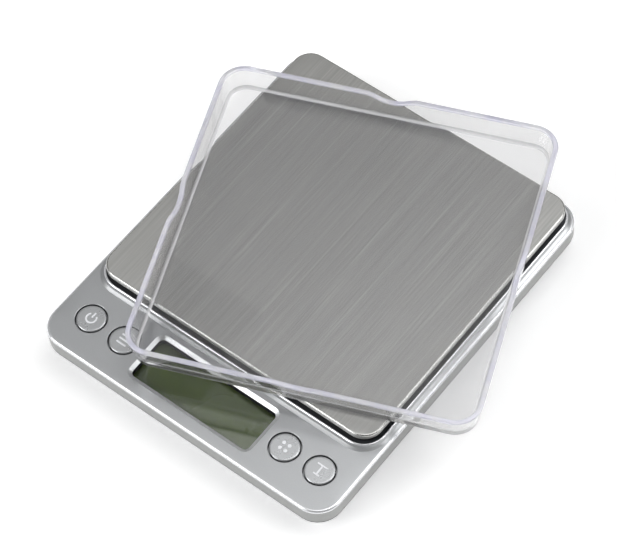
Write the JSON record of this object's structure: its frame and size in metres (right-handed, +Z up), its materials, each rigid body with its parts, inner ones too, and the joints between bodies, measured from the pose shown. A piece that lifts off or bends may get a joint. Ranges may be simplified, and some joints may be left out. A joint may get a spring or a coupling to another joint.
{
  "type": "digital gram scale",
  "caption": "Slim tabletop gram scale with a square stainless platform, a display with press keys and a loose clear tray.",
  "frame": {"origin": "on the table, under the middle of the whole object's box, the case and the turned tray together", "axes": "+X runs right along the key edge, +Y runs from the key edge to the back, +Z runs up from the table"},
  "size_m": [0.1316, 0.1378, 0.0282],
  "materials": {
    "silver_shell": "satin silver paint over moulded ABS",
    "key_shell": "satin silver paint over moulded ABS",
    "lens_acrylic": "clear polished acrylic",
    "display_liquid": "dark green unlit display glass",
    "black_abs": "fine-textured black ABS",
    "zebra_rubber": "striped connector rubber",
    "diffuser": "white light diffuser",
    "board_green": "green solder mask on glass-fibre board",
    "chip_black": "epoxy and ceramic parts",
    "switch_black": "moulded switch body",
    "plunger_black": "moulded plunger",
    "cell_aluminium": "milled aluminium bar",
    "white_silicone": "soft white silicone",
    "zinc_steel": "zinc-plated steel",
    "black_steel": "blackened steel",
    "wire_red": "red PVC insulation",
    "wire_black": "black PVC insulation",
    "wire_green": "green PVC insulation",
    "wire_white": "white PVC insulation",
    "cell_wrap": "plain two-tone cell sleeve",
    "nickel": "nickel-plated spring steel",
    "foot_rubber": "soft black rubber",
    "foam_tape": "double-sided foam tape",
    "stainless": "stainless steel brushed in straight lines from front to back",
    "clear_styrene": "clear polystyrene"
  },
  "bodies": {
    "case": {"upper_case": "silver_shell", "lower_case": "silver_shell", "display_lens": "lens_acrylic", "display_glass": "display_liquid", "display_frame": "black_abs", "zebra_strips": "zebra_rubber", "backlight": "diffuser", "main_board": "board_green", "board_parts": "chip_black", "controller_blob": "chip_black", "switch_power": "switch_black", "switch_mode": "switch_black", "switch_count": "switch_black", "switch_tare": "switch_black", "load_cell": "cell_aluminium", "gauge_covers": "white_silicone", "cell_screws": "zinc_steel", "overload_screw": "black_steel", "load_spacer": "zinc_steel", "gauge_lead_red": "wire_red", "gauge_lead_black": "wire_black", "gauge_lead_green": "wire_green", "gauge_lead_white": "wire_white", "battery_lead_red": "wire_red", "battery_lead_black": "wire_black", "aaa_cell_rear": "cell_wrap", "aaa_cell_front": "cell_wrap", "contact_springs": "nickel", "contact_plates": "nickel", "foot_front_left": "foot_rubber", "foot_front_right": "foot_rubber", "foot_rear_left": "foot_rubber", "foot_rear_right": "foot_rubber", "case_screws": "zinc_steel", "board_screws": "zinc_steel"},
    "platform": {"platform_carrier": "black_abs", "carrier_screws": "zinc_steel", "plate_tape": "foam_tape", "platform_plate": "stainless"},
    "tray": {"clear_tray": "clear_styrene"},
    "battery_door": {"battery_door": "silver_shell"},
    "key_power": {"key_power": "key_shell", "plunger_power": "plunger_black"},
    "key_mode": {"key_mode": "key_shell", "plunger_mode": "plunger_black"},
    "key_count": {"key_count": "key_shell", "plunger_count": "plunger_black"},
    "key_tare": {"key_tare": "key_shell", "plunger_tare": "plunger_black"}
  },
  "joints": [
    {"name": "platform_deflect", "type": "slide", "parent": "case", "child": "platform", "axis": [0, 0, -1], "range_m": [0, 0.0003], "stiffness_N_per_m": 16000, "deforming": ["load_spacer"]},
    {"name": "tray_lift", "type": "slide", "parent": "platform", "child": "tray", "axis": [0, 0, 1], "range_m": [0, 0.06]},
    {"name": "power_press", "type": "slide", "parent": "case", "child": "key_power", "axis": [0, 0, -1], "range_m": [0, 0.0005], "stiffness_N_per_m": 2400},
    {"name": "mode_press", "type": "slide", "parent": "case", "child": "key_mode", "axis": [0, 0, -1], "range_m": [0, 0.0005], "stiffness_N_per_m": 2400},
    {"name": "count_press", "type": "slide", "parent": "case", "child": "key_count", "axis": [0, 0, -1], "range_m": [0, 0.0005], "stiffness_N_per_m": 2400},
    {"name": "tare_press", "type": "slide", "parent": "case", "child": "key_tare", "axis": [0, 0, -1], "range_m": [0, 0.0005], "stiffness_N_per_m": 2400},
    {"name": "battery_door_hinge", "type": "hinge", "parent": "case", "child": "battery_door", "pos_m": [-0.0064, 0.04123, 0.0015], "axis": [1, 0, 0], "range_deg": [0, 85]}
  ]
}
